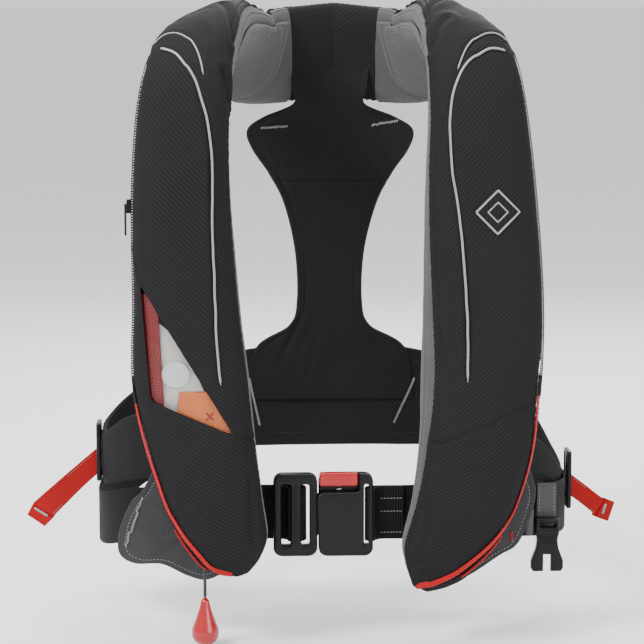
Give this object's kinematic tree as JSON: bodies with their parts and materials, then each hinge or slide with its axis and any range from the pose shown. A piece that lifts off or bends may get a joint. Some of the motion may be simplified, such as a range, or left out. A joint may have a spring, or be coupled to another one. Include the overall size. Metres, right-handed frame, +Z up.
{
  "type": "inflatable life jacket",
  "caption": "Horseshoe inflatable life jacket with zipped front lobes, back yoke, push-button waist buckle, viewing window, pull toggle and crotch strap clip.",
  "frame": {"origin": "on the neck axis, level with the lowest point of the neck opening, where the jacket rests on the wearer's neck", "axes": "+X to the right as seen from the front, +Y from chest to back, +Z up"},
  "size_m": [0.5645, 0.2866, 0.5851],
  "materials": {
    "cover_black": "woven nylon, fine diagonal weave, matt",
    "lining_grey": "soft brushed mesh lining",
    "webbing_black": "ribbed 50 mm webbing",
    "webbing_red": "flat woven webbing",
    "webbing_grey": "flat woven webbing",
    "piping_silver": "retroreflective piping",
    "zip_red": "woven zip binding",
    "zip_black": "moulded zip teeth",
    "window_film": "clear flexible film, glossy",
    "badge_white": "printed patch",
    "bladder_yellow": "coated fabric, satin",
    "buckle_black": "moulded acetal, fine sheen",
    "button_red": "moulded, glossy",
    "steel": "plated",
    "inflator_white": "moulded",
    "inflator_grey": "moulded",
    "cord_black": "braided 3 mm cord",
    "toggle_red": "moulded, high gloss",
    "tube_black": "flexible tube",
    "whistle_orange": "moulded"
  },
  "bodies": {
    "harness": {"left_front_cover": "cover_black", "right_front_cover": "cover_black", "collar_bridge": "cover_black", "back_yoke": "cover_black", "left_back_panel": "lining_grey", "right_back_panel": "lining_grey", "collar_lining": "lining_grey", "left_neck_pad": "lining_grey", "right_neck_pad": "lining_grey", "left_side_panel": "lining_grey", "right_side_panel": "lining_grey", "left_zip_tape": "zip_red", "right_zip_tape": "zip_red", "left_zip_chain": "zip_black", "right_zip_chain": "zip_black", "left_piping_long": "piping_silver", "left_piping_short": "piping_silver", "right_piping_long": "piping_silver", "right_piping_short": "piping_silver", "left_side_adjuster": "buckle_black", "right_side_adjuster": "buckle_black", "left_window": "window_film", "badge_patch": "badge_white", "bladder": "bladder_yellow", "waist_belt_left": "webbing_black", "waist_belt_right": "webbing_black", "buckle_tongue": "buckle_black", "inflator_body": "inflator_white", "inflator_cap": "inflator_grey", "manifold_nut": "steel", "oral_tube": "tube_black", "whistle": "whistle_orange", "whistle_loop": "webbing_black", "lifting_loop": "webbing_black"},
    "buckle_right": {"buckle_socket": "buckle_black", "buckle_spring": "steel", "belt_end_right": "webbing_black"},
    "button": {"release_button": "button_red"},
    "cord_pull": {"pull_cord": "cord_black"},
    "toggle": {"pull_toggle": "toggle_red"},
    "lever": {"manual_lever": "button_red"},
    "gas_cylinder": {"co2_cylinder": "steel"},
    "tube_cap": {"oral_tube_cap": "button_red"},
    "slider": {"zip_slider": "steel"},
    "puller": {"zip_puller": "webbing_red"},
    "crotch": {"crotch_strap": "webbing_grey", "crotch_buckle": "buckle_black"},
    "left_tab": {"left_pull_tab": "webbing_red"},
    "right_tab": {"right_pull_tab": "webbing_red"}
  },
  "joints": [
    {"name": "buckle_release", "type": "slide", "parent": "harness", "child": "buckle_right", "axis": [1, 0, 0], "range_m": [0, 0.016]},
    {"name": "button_press", "type": "slide", "parent": "buckle_right", "child": "button", "axis": [0, 0, -1], "range_m": [0, 0.004], "stiffness_N_per_m": 400, "springref_m": -0.002, "deforming": ["buckle_spring"]},
    {"name": "cord_slide", "type": "slide", "parent": "harness", "child": "cord_pull", "axis": [0, 0, -1], "range_m": [0, 0.02]},
    {"name": "toggle_swing", "type": "hinge", "parent": "cord_pull", "child": "toggle", "pos_m": [-0.1255, -0.122, -0.432], "axis": [0, 1, 0], "range_deg": [-35, 35]},
    {"name": "lever_turn", "type": "hinge", "parent": "harness", "child": "lever", "pos_m": [-0.132, -0.1358, -0.249], "axis": [0, 1, 0], "range_deg": [-52, 0]},
    {"name": "cylinder_unscrew", "type": "hinge", "parent": "harness", "child": "gas_cylinder", "pos_m": [-0.146, -0.1383, -0.15], "axis": [0, 0, 1], "continuous": true},
    {"name": "tube_cap_lift", "type": "slide", "parent": "harness", "child": "tube_cap", "axis": [0, 0, 1], "range_m": [0, 0.012]},
    {"name": "zip_run", "type": "slide", "parent": "harness", "child": "slider", "axis": [0, 0, -1], "range_m": [0, 0.08]},
    {"name": "puller_swing", "type": "hinge", "parent": "slider", "child": "puller", "pos_m": [-0.19226, -0.13, -0.072], "axis": [0, 1, 0], "range_deg": [0, 90]},
    {"name": "crotch_strap_swing", "type": "hinge", "parent": "harness", "child": "crotch", "pos_m": [0.191, -0.0852, -0.337], "axis": [1, 0, 0], "range_deg": [-70, 0]},
    {"name": "left_tab_bend", "type": "hinge", "parent": "harness", "child": "left_tab", "pos_m": [-0.232, 0, -0.332], "axis": [0, 0, 1], "range_deg": [-50, 50], "stiffness_Nm_per_rad": 0.02},
    {"name": "right_tab_bend", "type": "hinge", "parent": "harness", "child": "right_tab", "pos_m": [0.2276, 0, -0.357], "axis": [0, 0, 1], "range_deg": [-50, 50], "stiffness_Nm_per_rad": 0.02}
  ],
  "couplings": [
    {"joint": "lever_turn", "follows": "cord_slide", "rad_per_m": -45}
  ]
}
